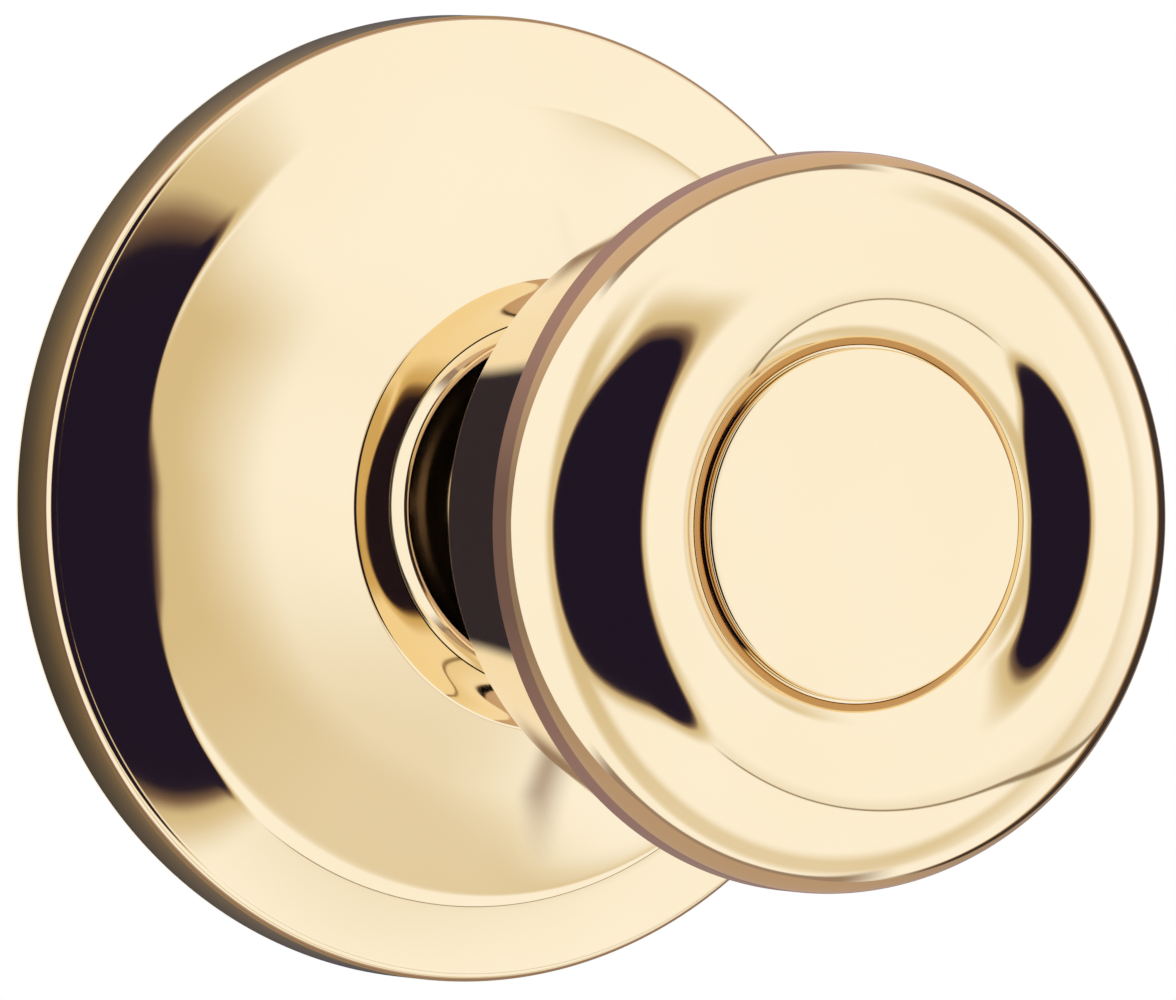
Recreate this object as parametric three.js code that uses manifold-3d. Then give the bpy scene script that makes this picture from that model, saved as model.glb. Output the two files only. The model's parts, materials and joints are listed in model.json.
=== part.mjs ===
// Round passage door knob: the room-side half of a tubular knobset, as it hangs on a door.
//
// Units are millimetres. The parts are drawn in a design frame whose Z axis is the knob's axis,
// pointing out of the door, with X to the right and Y up for somebody who faces the door.
// The last step turns that frame so that the axis lies along -Y and +Z is up.
// Z = 0 is the door's face, which is also the rose's back plane.

import * as THREE from 'three';
import { mergeVertices } from 'three/addons/utils/BufferGeometryUtils.js';
import Module from 'manifold-3d';

const wasm = await Module();
wasm.setup();

// ---------------------------------------------------------------- driving dimensions

const GAP = 0.3; // clearance kept between neighbouring pieces
const SHEET = 0.9; // wall of the spun brass shells

const ROSE_R = 33.35; // the rose covers a 54 mm cross bore
const ROSE_RIM_H = 4.75; // height of the rose's straight rim
const ROSE_EDGE_R = 0.85; // rounding between the rim and the flare
const ROSE_EDGE_SWEEP = 78; // degrees of that rounding
const FLARE_PULL_OUT = new THREE.Vector2(30.9, 5.9); // the flare leaves the rim nearly flat
const FLARE_PULL_IN = new THREE.Vector2(28.4, 6.4);
const CREASE_R = 27.0; // soft crease where the flare turns into the cone
const CREASE_Z = 6.97;
const CONE_PULL_OUT = new THREE.Vector2(23.2, 9.81); // the cone steepens toward the mouth
const CONE_PULL_IN = new THREE.Vector2(19.4, 12.71);
const MOUTH_R = 15.5; // sharp edge round the rose's mouth
const MOUTH_Z = 16.2;
const MOUTH_BACKSET = 0.5; // how far inside that edge the sheet's inner side turns
const RECESS_Z = 15.82; // where the ring that turns in from the mouth meets the neck

const NECK_R = 12.0; // plain part of the neck
const NECK_BEAD_R = 12.7; // bead at the foot of the neck
const NECK_BEAD_Z = 16.7; // top of the bead
const NECK_FOOT_Z = 13.4; // closed foot of the neck, inside the rose
const NECK_TOP_Z = 34.6;

const BACK_START_R = NECK_R + GAP; // the back shell's collar round the neck
const BACK_START_Z = 33.4;
const BACK_CORNER_R = 20.9; // corner where the back turns into the flank
const BACK_CORNER_Z = 40.0;
const RIM_R = 24.8; // the knob's largest radius
const RIM_BACK_Z = 53.7; // back edge of the rolled rim band
const RIM_FRONT_Z = 55.9; // front edge of the rim band
const RIM_EDGE_R = 3.6; // rounding from the rim band to the face
const RIM_EDGE_SWEEP = 52; // degrees of that rounding
const OUTER_PULL = new THREE.Vector2(21.3, 60.2); // shapes the ring's outer slope
const CREST_PULL_OUT = new THREE.Vector2(19.2, 61.8);
const CREST_PULL_IN = new THREE.Vector2(15.6, 61.8);
const INNER_PULL = new THREE.Vector2(14.2, 61.0); // shapes the slope down to the disc
const CREST_R = 17.0; // crest of the ring round the face
const CREST_Z = 61.8;
const DISH_R = 12.77; // edge of the well that holds the centre disc
const DISH_Z = 59.9;
const WELL_FLOOR_Z = 58.3;
const DISC_R = 11.78;
const DISC_Z = 60.3; // face of the centre disc
const STUD_R = 3.2; // stud behind the disc

const SHANK_R = 7.0;
const SHANK_BORE_R = 4.9;
const SHANK_FLAT = 5.9; // half distance across the shank's drive flats
const SHANK_BACK_Z = 1.2;
const SHANK_FRONT_Z = 47.0;
const FLATS_TOP_Z = 5.4;

const SPINDLE_R = 4.0;
const SPINDLE_FLAT_Y = 1.2; // the flat that makes the bar D-shaped
const SPINDLE_BACK_Z = -52.0;
const SPINDLE_FRONT_Z = 30.0;
const PIN_R = 1.2;
const PIN_Y = -0.8; // the pin crosses the thick part of the D
const PIN_Z = 26.0;

const PLATE_R = 31.4;
const PLATE_T = 1.6;
const PLATE_HOLE_R = 10.0;
const POST_X = 19.0; // half of the 38 mm spacing of the through-bolts
const POST_R = 3.25;
const POST_BORE_R = 1.9;
const POST_BACK_Z = -16.0;
const POST_STEM_R = 2.2;
const POST_HEAD_R = 3.2;
const POST_HEAD_H = 0.9;
const POST_BORE_END = 1.0; // the threaded bore stops this far short of the shoulder

const HOUSING_R = 15.0;
const HOUSING_FLANGE_R = 19.6;
const HOUSING_TOP_Z = 11.2;
const HOUSING_T = 0.9;
const BUSH_RIM = 1.0; // height and overhang of the rose bush's foot
const BUSH_WALL = 1.3;
const BEARING_R = 9.0;
const BEARING_DEPTH = 0.6; // how far the bush reaches below the housing's top
const BEARING_FLANGE = 2.0;
const BEARING_FLANGE_H = 0.7;
const RIVET_CIRCLE_R = 17.4;
const RIVET_R = 1.0;
const RIVET_HEAD_R = 1.8;
const RIVET_HEAD_H = 0.8;

const DRIVER_Z = 3.4; // back face of the spring driver
const DRIVER_T = 1.5;
const DRIVER_R = 9.2;
const DRIVER_TAB_R = 12.9;
const DRIVER_TAB_HALF = THREE.MathUtils.degToRad(9);
const TRAVEL = THREE.MathUtils.degToRad(60); // how far the knob turns each way
const STOP_HALF = THREE.MathUtils.degToRad(5);
const STOP_MARGIN = THREE.MathUtils.degToRad(2);
const STOP_INNER_R = 10.4;
const STOP_OUTER_R = 13.2;
const STOP_TOP_Z = 5.6;

const SPRING_R = 10.6; // mean radius of the coil
const SPRING_WIRE_R = 0.6;
const SPRING_BACK_Z = 6.6;
const SPRING_PITCH = 1.5;
const SPRING_TURNS = 2;

const CLIP_WIDTH = 7;
const CLIP_T = 0.5;
const CLIP_FOOT_R = 24.5; // the clip's foot lies flat on the plate from here
const CLIP_BEND_R = 29.3; // to here
const CLIP_SHOULDER_R = 30.1; // it then climbs
const CLIP_TIP_R = 31.7; // to the tip, which grips the rose's rim
const CLIP_SHOULDER_H = 0.55;
const CLIP_TIP_H = 0.9;

const CORE_COLLAR = 4.0; // how far the core reaches down inside the neck
const CORE_WEB_R = 10.6; // boss round the shank's front end
const CORE_SEAT_R = 17.2; // seat behind the back shell's dish
const CORE_RIM_R = 18.6;
const CORE_FLANK_R = 20.6; // front end of the wall that backs the flank
const CORE_INSIDE_R = 16.4;
const CORE_H = 9.5;

const SHELL_SEGMENTS = 44; // facets round the visible shells
const INNER_SEGMENTS = 24;
const SMALL_SEGMENTS = 12;

// ---------------------------------------------------------------- materials

function metal(color, roughness) {
  return new THREE.MeshStandardMaterial({ color, roughness, metalness: 1 });
}

function plastic(color) {
  return new THREE.MeshStandardMaterial({ color, roughness: 0.45, metalness: 0 });
}

const brass = () => metal(0xe3bd6b, 0.08);
const zincSteel = () => metal(0xb9bcc0, 0.35);
const springSteel = () => metal(0x6d7076, 0.3);
const castZinc = () => metal(0x9a9ca0, 0.55);
const nylon = () => plastic(0xe9e6da);

// ---------------------------------------------------------------- building blocks

function point(r, z) {
  return new THREE.Vector2(r, z);
}

// Points along an arc, from one angle to the other, both in degrees.
function arc(centreR, centreZ, radius, fromDeg, toDeg, steps) {
  const points = [];
  for (let i = 0; i <= steps; i += 1) {
    const angle = THREE.MathUtils.degToRad(fromDeg + ((toDeg - fromDeg) * i) / steps);
    points.push(point(centreR + radius * Math.cos(angle), centreZ + radius * Math.sin(angle)));
  }
  return points;
}

function bezier(start, startPull, endPull, end, steps) {
  return new THREE.CubicBezierCurve(start, startPull, endPull, end).getPoints(steps);
}

// A closed outline of radius and height, spun round the axis.
function revolve(outline, segments) {
  const closed = [...outline, outline[0].clone()];
  if (THREE.ShapeUtils.area(outline) < 0) closed.reverse();
  return new THREE.LatheGeometry(closed, segments).rotateX(Math.PI / 2);
}

// A ring of rectangular section.
function ring(innerR, outerR, backZ, frontZ, segments) {
  const outline = [
    point(innerR, backZ),
    point(outerR, backZ),
    point(outerR, frontZ),
    point(innerR, frontZ),
  ];
  return revolve(outline, segments);
}

function rod(radius, backZ, frontZ, segments) {
  const length = frontZ - backZ;
  const geometry = new THREE.CylinderGeometry(radius, radius, length, segments);
  return geometry.rotateX(Math.PI / 2).translate(0, 0, (backZ + frontZ) / 2);
}

function slab(shape, backZ, frontZ, curveSegments) {
  const options = { depth: frontZ - backZ, bevelEnabled: false, curveSegments };
  return new THREE.ExtrudeGeometry(shape, options).translate(0, 0, backZ);
}

// A piece of a flat ring between two angles, in radians.
function sector(innerR, outerR, fromAngle, toAngle) {
  const shape = new THREE.Shape();
  shape.absarc(0, 0, outerR, fromAngle, toAngle, false);
  shape.absarc(0, 0, innerR, toAngle, fromAngle, true);
  shape.closePath();
  return shape;
}

// The sheet's inner side: the outline moved inwards by the wall, point by point.
function innerSide(points, wall) {
  return points.map((here, i) => {
    const before = points[Math.max(i - 1, 0)];
    const after = points[Math.min(i + 1, points.length - 1)];
    const along = after.clone().sub(before).normalize();
    return point(here.x - along.y * wall, here.y + along.x * wall);
  });
}

function toSolid(geometry) {
  const bare = geometry.index ? geometry.toNonIndexed() : geometry.clone();
  bare.deleteAttribute('normal');
  bare.deleteAttribute('uv');
  const merged = mergeVertices(bare, 1e-4);
  const corners = merged.index.array;
  const kept = [];
  for (let i = 0; i < corners.length; i += 3) {
    const [a, b, c] = [corners[i], corners[i + 1], corners[i + 2]];
    if (a !== b && b !== c && c !== a) kept.push(a, b, c);
  }
  const mesh = new wasm.Mesh({
    numProp: 3,
    vertProperties: new Float32Array(merged.attributes.position.array),
    triVerts: new Uint32Array(kept),
  });
  return new wasm.Manifold(mesh);
}

function toGeometry(solid) {
  const mesh = solid.getMesh();
  const geometry = new THREE.BufferGeometry();
  geometry.setAttribute('position', new THREE.BufferAttribute(mesh.vertProperties, 3));
  geometry.setIndex(new THREE.BufferAttribute(mesh.triVerts, 1));
  geometry.computeVertexNormals();
  return geometry;
}

function cut(base, ...tools) {
  const solid = tools.reduce((left, tool) => left.subtract(toSolid(tool)), toSolid(base));
  return toGeometry(solid);
}

function join(base, ...others) {
  const solid = others.reduce((whole, other) => whole.add(toSolid(other)), toSolid(base));
  return toGeometry(solid);
}

function named(name, geometry, material) {
  const mesh = new THREE.Mesh(geometry, material);
  mesh.name = name;
  return mesh;
}

function onCircle(radius, angle) {
  return [radius * Math.cos(angle), radius * Math.sin(angle)];
}

// ---------------------------------------------------------------- rose and its fixings

// The rose's flare and cone, from the rim's rounded edge up to the mouth.
function roseDome(flareSteps, coneSteps) {
  const crease = point(CREASE_R, CREASE_Z);
  const mouth = point(MOUTH_R, MOUTH_Z);
  const flare = bezier(roseEdge(1)[1], FLARE_PULL_OUT, FLARE_PULL_IN, crease, flareSteps);
  const cone = bezier(crease, CONE_PULL_OUT, CONE_PULL_IN, mouth, coneSteps);
  return [...flare, ...cone.slice(1)];
}

function roseEdge(steps) {
  return arc(ROSE_R - ROSE_EDGE_R, ROSE_RIM_H, ROSE_EDGE_R, 0, ROSE_EDGE_SWEEP, steps);
}

// Spun brass cover: a straight rim, a flare and a cone up to the sharp edge of the mouth, where
// the sheet turns in to a shallow ring round the neck.
function rose() {
  const neckSide = NECK_BEAD_R + GAP;
  const outside = [point(ROSE_R, 0), ...roseEdge(3), ...roseDome(3, 5).slice(1)];
  const inside = [
    point(neckSide, RECESS_Z),
    point(neckSide, RECESS_Z - SHEET),
    point(MOUTH_R - MOUTH_BACKSET, RECESS_Z - SHEET),
    ...innerSide(roseDome(2, 3), SHEET).slice(1, -1).reverse(),
    point(ROSE_R - SHEET, ROSE_RIM_H),
    point(ROSE_R - SHEET, 0),
  ];
  return named('rose', revolve([...outside, ...inside], SHELL_SEGMENTS), brass());
}

// Nylon ring that centres the rose's mouth and sits on the spring housing.
function roseBush() {
  const innerR = NECK_BEAD_R + GAP;
  const backZ = HOUSING_TOP_Z + GAP;
  const outline = [
    point(innerR, backZ),
    point(HOUSING_R + BUSH_RIM, backZ),
    point(HOUSING_R + BUSH_RIM, backZ + BUSH_RIM),
    point(innerR + BUSH_WALL, backZ + BUSH_RIM),
    point(innerR + BUSH_WALL, RECESS_Z - SHEET - GAP),
    point(innerR, RECESS_Z - SHEET - GAP),
  ];
  return named('rose_bush', revolve(outline, INNER_SEGMENTS), nylon());
}

function stopLug(side) {
  const middle = -Math.PI / 2 + side * (TRAVEL + DRIVER_TAB_HALF + STOP_HALF + STOP_MARGIN);
  const shape = sector(STOP_INNER_R, STOP_OUTER_R, middle - STOP_HALF, middle + STOP_HALF);
  return slab(shape, PLATE_T / 2, STOP_TOP_Z, 4);
}

// Steel plate against the door, with the two lugs that stop the driver.
function mountingPlate() {
  const disc = ring(PLATE_HOLE_R, PLATE_R, 0, PLATE_T, SHELL_SEGMENTS);
  const holes = [];
  for (const x of [-POST_X, POST_X]) {
    holes.push(rod(POST_STEM_R + GAP, -1, PLATE_T + 1, SMALL_SEGMENTS).translate(x, 0, 0));
  }
  for (const angle of rivetAngles()) {
    const [x, y] = onCircle(RIVET_CIRCLE_R, angle);
    holes.push(rod(RIVET_R + GAP, -1, PLATE_T + 1, SMALL_SEGMENTS).translate(x, y, 0));
  }
  const drilled = cut(disc, ...holes);
  return named('mounting_plate', join(drilled, stopLug(-1), stopLug(1)), zincSteel());
}

// Threaded post that takes one of the through-bolts, riveted into the plate.
function post(name, x) {
  const headBackZ = PLATE_T + GAP;
  const outline = [
    point(POST_BORE_R, POST_BACK_Z),
    point(POST_R, POST_BACK_Z),
    point(POST_R, -GAP),
    point(POST_STEM_R, -GAP),
    point(POST_STEM_R, headBackZ),
    point(POST_HEAD_R, headBackZ),
    point(POST_HEAD_R, headBackZ + POST_HEAD_H),
    point(0, headBackZ + POST_HEAD_H),
    point(0, -GAP - POST_BORE_END),
    point(POST_BORE_R, -GAP - POST_BORE_END),
  ];
  const mesh = named(name, revolve(outline, SMALL_SEGMENTS), zincSteel());
  mesh.position.x = x;
  return mesh;
}

// Bent leaf that stands on the plate and grips the rose's rim from inside.
function roseClip(name, side) {
  const footZ = PLATE_T + GAP;
  const outline = [
    [CLIP_FOOT_R, footZ],
    [CLIP_BEND_R, footZ],
    [CLIP_SHOULDER_R, footZ + CLIP_SHOULDER_H],
    [CLIP_TIP_R, footZ + CLIP_TIP_H],
    [CLIP_TIP_R, footZ + CLIP_TIP_H + CLIP_T],
    [CLIP_SHOULDER_R, footZ + CLIP_SHOULDER_H + CLIP_T],
    [CLIP_BEND_R, footZ + CLIP_T],
    [CLIP_FOOT_R, footZ + CLIP_T],
  ];
  const shape = new THREE.Shape(outline.map(([y, z]) => point(y, z)));
  const geometry = slab(shape, -CLIP_WIDTH / 2, CLIP_WIDTH / 2, 1);
  geometry.rotateX(Math.PI / 2).rotateZ(Math.PI / 2);
  const mesh = named(name, geometry, springSteel());
  mesh.rotation.z = side > 0 ? 0 : Math.PI;
  return mesh;
}

function rivetAngles() {
  return [90, 210, 330].map(THREE.MathUtils.degToRad);
}

// Steel cup, riveted to the plate, that holds the return spring and the bearing.
function springHousing() {
  const flangeBackZ = PLATE_T + GAP;
  const innerR = HOUSING_R - HOUSING_T;
  const outline = [
    point(innerR, flangeBackZ),
    point(HOUSING_FLANGE_R, flangeBackZ),
    point(HOUSING_FLANGE_R, flangeBackZ + HOUSING_T),
    point(HOUSING_R, flangeBackZ + HOUSING_T),
    point(HOUSING_R, HOUSING_TOP_Z),
    point(BEARING_R + GAP, HOUSING_TOP_Z),
    point(BEARING_R + GAP, HOUSING_TOP_Z - HOUSING_T),
    point(innerR, HOUSING_TOP_Z - HOUSING_T),
  ];
  const cup = revolve(outline, SHELL_SEGMENTS);
  const openings = [];
  for (const x of [-POST_X, POST_X]) {
    const clear = POST_HEAD_R + GAP;
    openings.push(rod(clear, 0, flangeBackZ + 2, SMALL_SEGMENTS).translate(x, 0, 0));
  }
  for (const angle of rivetAngles()) {
    const [x, y] = onCircle(RIVET_CIRCLE_R, angle);
    openings.push(rod(RIVET_R + GAP, 0, flangeBackZ + 2, SMALL_SEGMENTS).translate(x, y, 0));
  }
  return named('spring_housing', cut(cup, ...openings), zincSteel());
}

function housingRivet(name, angle) {
  const headBackZ = PLATE_T + GAP + HOUSING_T + GAP;
  const outline = [
    point(0, GAP),
    point(RIVET_R, GAP),
    point(RIVET_R, headBackZ),
    point(RIVET_HEAD_R, headBackZ),
    point(RIVET_HEAD_R * 0.6, headBackZ + RIVET_HEAD_H),
    point(0, headBackZ + RIVET_HEAD_H),
  ];
  const mesh = named(name, revolve(outline, SMALL_SEGMENTS), zincSteel());
  const [x, y] = onCircle(RIVET_CIRCLE_R, angle);
  mesh.position.set(x, y, 0);
  return mesh;
}

// Flanged nylon bush in which the shank turns.
function shankBearing() {
  const innerR = SHANK_R + GAP;
  const backZ = HOUSING_TOP_Z - HOUSING_T - BEARING_DEPTH;
  const flangeBackZ = HOUSING_TOP_Z + GAP;
  const outline = [
    point(innerR, backZ),
    point(BEARING_R, backZ),
    point(BEARING_R, flangeBackZ),
    point(BEARING_R + BEARING_FLANGE, flangeBackZ),
    point(BEARING_R + BEARING_FLANGE, flangeBackZ + BEARING_FLANGE_H),
    point(innerR, flangeBackZ + BEARING_FLANGE_H),
  ];
  return named('shank_bearing', revolve(outline, INNER_SEGMENTS), nylon());
}

// Torsion coil: two turns round the shank, with its legs bent outwards.
class SpringPath extends THREE.Curve {
  getPoint(t, target = new THREE.Vector3()) {
    const angle = t * SPRING_TURNS * 2 * Math.PI;
    const legLength = 1.6;
    const legShare = 0.05;
    const fromEnd = Math.min(t, 1 - t);
    const leg = Math.max(0, 1 - fromEnd / legShare) * legLength;
    const radius = SPRING_R + leg;
    const z = SPRING_BACK_Z + t * SPRING_TURNS * SPRING_PITCH;
    return target.set(radius * Math.sin(angle), -radius * Math.cos(angle), z);
  }
}

function returnSpring() {
  const wire = new THREE.Shape();
  wire.absarc(0, 0, SPRING_WIRE_R, 0, 2 * Math.PI, false);
  const options = {
    steps: SPRING_TURNS * 22,
    curveSegments: 4,
    bevelEnabled: false,
    extrudePath: new SpringPath(),
  };
  return named('return_spring', new THREE.ExtrudeGeometry(wire, options), springSteel());
}

// ---------------------------------------------------------------- knob and what turns with it

// The ring's outer outline, from the rim band over the crest to the edge of the well.
function faceOutline(arcSteps, slopeSteps) {
  const rimArc = arc(RIM_R - RIM_EDGE_R, RIM_FRONT_Z, RIM_EDGE_R, 0, RIM_EDGE_SWEEP, arcSteps);
  const start = rimArc[rimArc.length - 1];
  const crest = point(CREST_R, CREST_Z);
  const outer = bezier(start, OUTER_PULL, CREST_PULL_OUT, crest, slopeSteps).slice(1);
  const inner = bezier(crest, CREST_PULL_IN, INNER_PULL, point(DISH_R, DISH_Z), slopeSteps);
  return [...rimArc, ...outer, ...inner.slice(1)];
}

// Front half of the knob: rolled rim band, a full round ring and the well for the centre disc.
function knobFront() {
  const wellInsideR = DISH_R + SHEET;
  const well = [
    point(DISH_R, WELL_FLOOR_Z),
    point(STUD_R + GAP, WELL_FLOOR_Z),
    point(STUD_R + GAP, WELL_FLOOR_Z - SHEET),
    point(wellInsideR, WELL_FLOOR_Z - SHEET),
    point(wellInsideR, DISH_Z - 0.6),
  ];
  const inside = innerSide(faceOutline(2, 2), SHEET).slice(0, -1).reverse();
  const skirt = [point(RIM_R - SHEET, RIM_BACK_Z), point(RIM_R, RIM_BACK_Z)];
  const outline = [...faceOutline(4, 4), ...well, ...inside, ...skirt];
  return named('knob_front', revolve(outline, SHELL_SEGMENTS), brass());
}

// The back's outer outline, from the collar on the neck to the corner.
function backOutline(steps) {
  const collarEnd = point(BACK_START_R + 0.9, BACK_START_Z + 1.6);
  const cornerStart = point(BACK_CORNER_R - 1.2, BACK_CORNER_Z - 0.55);
  return bezier(collarEnd, point(14.4, 37.2), point(17.2, 38.4), cornerStart, steps);
}

// Back half of the knob: a collar on the neck, the dished back, the corner and the flank,
// ending in a lip inside the front half's rolled rim.
function knobBack() {
  const corner = [
    point(BACK_CORNER_R - 0.3, BACK_CORNER_Z - 0.2),
    point(BACK_CORNER_R, BACK_CORNER_Z + 0.3),
  ];
  const flankEnd = point(RIM_R - 0.25, RIM_BACK_Z - GAP);
  const lipR = RIM_R - SHEET - GAP;
  const lip = [
    point(lipR, flankEnd.y),
    point(lipR, RIM_FRONT_Z - 0.6),
    point(lipR - SHEET, RIM_FRONT_Z - 0.6),
    point(lipR - SHEET, flankEnd.y - 1),
  ];
  const inside = [
    point(BACK_CORNER_R - SHEET, BACK_CORNER_Z + SHEET),
    ...innerSide(backOutline(2), SHEET).reverse().slice(1),
    point(BACK_START_R, BACK_START_Z + 2.6),
  ];
  const collar = point(BACK_START_R, BACK_START_Z);
  const outline = [collar, ...backOutline(4), ...corner, flankEnd, ...lip, ...inside];
  return named('knob_back', revolve(outline, SHELL_SEGMENTS), brass());
}

// Brass ferrule: a plain tube with a bead at its foot, closed behind the rose's mouth.
function knobNeck() {
  const boreR = NECK_R - SHEET;
  const outline = [
    point(SHANK_R + GAP, NECK_FOOT_Z),
    point(NECK_BEAD_R, NECK_FOOT_Z),
    point(NECK_BEAD_R, NECK_BEAD_Z - 0.35),
    point(NECK_BEAD_R - 0.25, NECK_BEAD_Z),
    point(NECK_R, NECK_BEAD_Z + 0.3),
    point(NECK_R, NECK_TOP_Z),
    point(boreR, NECK_TOP_Z),
    point(boreR, NECK_FOOT_Z + SHEET),
    point(SHANK_R + GAP, NECK_FOOT_Z + SHEET),
  ];
  return named('knob_neck', revolve(outline, SHELL_SEGMENTS), brass());
}

// Centre disc with the stud that fastens it through the well's floor.
function faceDisc() {
  const discBackZ = WELL_FLOOR_Z + GAP;
  const outline = [
    point(0, WELL_FLOOR_Z - 4),
    point(STUD_R, WELL_FLOOR_Z - 4),
    point(STUD_R, discBackZ),
    point(DISC_R, discBackZ),
    point(DISC_R, DISC_Z - 0.25),
    point(DISC_R - 0.25, DISC_Z),
    point(DISC_R / 2, DISC_Z + 0.12),
    point(0, DISC_Z + 0.15),
  ];
  return named('face_disc', revolve(outline, SHELL_SEGMENTS), brass());
}

// Push-on washer that holds the disc's stud behind the well.
function discClip() {
  const frontZ = WELL_FLOOR_Z - SHEET - GAP;
  const outline = [
    point(STUD_R + GAP, frontZ - 1.3),
    point(4.2, frontZ - 1.3),
    point(7.5, frontZ - 0.6),
    point(7.5, frontZ),
    point(6.6, frontZ),
    point(STUD_R + GAP, frontZ - 0.7),
  ];
  return named('disc_clip', revolve(outline, INNER_SEGMENTS), springSteel());
}

// Cast core that carries both shells on the shank.
function knobCore() {
  const boreR = SHANK_R + GAP;
  const collarR = NECK_R - SHEET - GAP;
  const webZ = BACK_CORNER_Z + 4.4;
  const frontZ = BACK_CORNER_Z + CORE_H;
  const outline = [
    point(boreR, NECK_TOP_Z - CORE_COLLAR),
    point(collarR, NECK_TOP_Z - CORE_COLLAR),
    point(collarR, NECK_TOP_Z + 3.2),
    point(CORE_SEAT_R, BACK_CORNER_Z + 1.0),
    point(CORE_RIM_R, BACK_CORNER_Z + 2.6),
    point(CORE_FLANK_R, frontZ),
    point(CORE_RIM_R, frontZ),
    point(CORE_INSIDE_R, webZ),
    point(CORE_WEB_R, webZ),
    point(CORE_WEB_R, SHANK_FRONT_Z + 1.2),
    point(boreR, SHANK_FRONT_Z + 1.2),
  ];
  return named('knob_core', revolve(outline, INNER_SEGMENTS), castZinc());
}

// The hole for the cross pin, through the shank and the spindle.
function pinHole() {
  const radius = PIN_R + GAP;
  const hole = new THREE.CylinderGeometry(radius, radius, 3 * SHANK_R, SMALL_SEGMENTS);
  return hole.rotateZ(Math.PI / 2).translate(0, PIN_Y, PIN_Z);
}

// Steel tube that joins the knob to the spring driver, with two drive flats at its back end.
function shank() {
  const tube = ring(SHANK_BORE_R, SHANK_R, SHANK_BACK_Z, SHANK_FRONT_Z, INNER_SEGMENTS);
  const side = 4;
  const depth = FLATS_TOP_Z - SHANK_BACK_Z + 1;
  const flats = [-1, 1].map((sign) => {
    const block = new THREE.BoxGeometry(side * SHANK_R, side, depth);
    return block.translate(0, sign * (SHANK_FLAT + side / 2), FLATS_TOP_Z - depth / 2);
  });
  return named('shank', cut(tube, ...flats, pinHole()), zincSteel());
}

// D-shaped bar that reaches through the latch.
function spindle() {
  const halfAngle = Math.asin(SPINDLE_FLAT_Y / SPINDLE_R);
  const section = new THREE.Shape();
  section.absarc(0, 0, SPINDLE_R, Math.PI - halfAngle, 2 * Math.PI + halfAngle, false);
  section.closePath();
  const bar = slab(section, SPINDLE_BACK_Z, SPINDLE_FRONT_Z, 12);
  return named('spindle', cut(bar, pinHole()), zincSteel());
}

// Cross pin that holds the spindle in the shank.
function spindlePin() {
  const length = 2 * (NECK_R - SHEET - 2 * GAP - 1.2);
  const geometry = new THREE.CylinderGeometry(PIN_R, PIN_R, length, SMALL_SEGMENTS);
  const mesh = named('spindle_pin', geometry.rotateZ(Math.PI / 2), zincSteel());
  mesh.position.set(0, PIN_Y, PIN_Z);
  return mesh;
}

// Washer keyed to the shank's flats, with the tab that winds the spring and meets the stops.
function springDriver() {
  const shape = new THREE.Shape();
  const middle = -Math.PI / 2;
  const tabFrom = middle - DRIVER_TAB_HALF;
  const tabTo = middle + DRIVER_TAB_HALF;
  shape.absarc(0, 0, DRIVER_R, tabTo, tabFrom + 2 * Math.PI, false);
  shape.absarc(0, 0, DRIVER_TAB_R, tabFrom + 2 * Math.PI, tabTo + 2 * Math.PI, false);
  shape.closePath();
  const washer = slab(shape, DRIVER_Z, DRIVER_Z + DRIVER_T, 18);
  const keyR = SHANK_R + GAP;
  const keyAngle = Math.asin((SHANK_FLAT + GAP) / keyR);
  const keyhole = new THREE.Shape();
  keyhole.absarc(0, 0, keyR, -keyAngle, keyAngle, false);
  keyhole.absarc(0, 0, keyR, Math.PI - keyAngle, Math.PI + keyAngle, false);
  keyhole.closePath();
  const key = slab(keyhole, DRIVER_Z - 1, DRIVER_Z + DRIVER_T + 1, 8);
  return named('spring_driver', cut(washer, key), zincSteel());
}

// Open snap ring behind the driver.
function retainingRing() {
  const mouth = THREE.MathUtils.degToRad(28);
  const shape = sector(SHANK_R + GAP, SHANK_R + 2.0, Math.PI / 2 + mouth, 2.5 * Math.PI - mouth);
  return named('retaining_ring', slab(shape, 2.2, 3.0, 20), springSteel());
}

function thrustWasher() {
  const backZ = HOUSING_TOP_Z + GAP + BEARING_FLANGE_H + GAP;
  const geometry = ring(SHANK_R + GAP, BEARING_R + 1.8, backZ, NECK_FOOT_Z - GAP, INNER_SEGMENTS);
  return named('thrust_washer', geometry, springSteel());
}

// ---------------------------------------------------------------- assembly

const fixedParts = new THREE.Group();
fixedParts.add(rose(), roseBush(), mountingPlate(), springHousing(), shankBearing(), returnSpring());
fixedParts.add(post('post_left', -POST_X), post('post_right', POST_X));
fixedParts.add(roseClip('rose_clip_top', 1), roseClip('rose_clip_bottom', -1));
rivetAngles().forEach((angle, i) => fixedParts.add(housingRivet(`housing_rivet_${i + 1}`, angle)));

const turningParts = new THREE.Group();
turningParts.add(knobFront(), knobBack(), knobNeck(), faceDisc(), discClip(), knobCore());
turningParts.add(shank(), spindle(), spindlePin(), springDriver(), retainingRing(), thrustWasher());

const doorKnob = new THREE.Group();
doorKnob.add(fixedParts, turningParts);
doorKnob.rotation.x = Math.PI / 2;

export default doorKnob;
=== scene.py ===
"""Looks for the round passage door knob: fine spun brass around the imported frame, and a light tent.

The frame hangs with the knob's axis along -Y, pointing out of the door, and with Z up.
Outlines of spun pieces are lists of (radius, height), in metres, where height is measured from
the door's face along the axis. Heights and radii that the frame knows are read from it.
"""

import json
import math

import bpy
import numpy as np
from mathutils import Matrix, Vector


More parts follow.
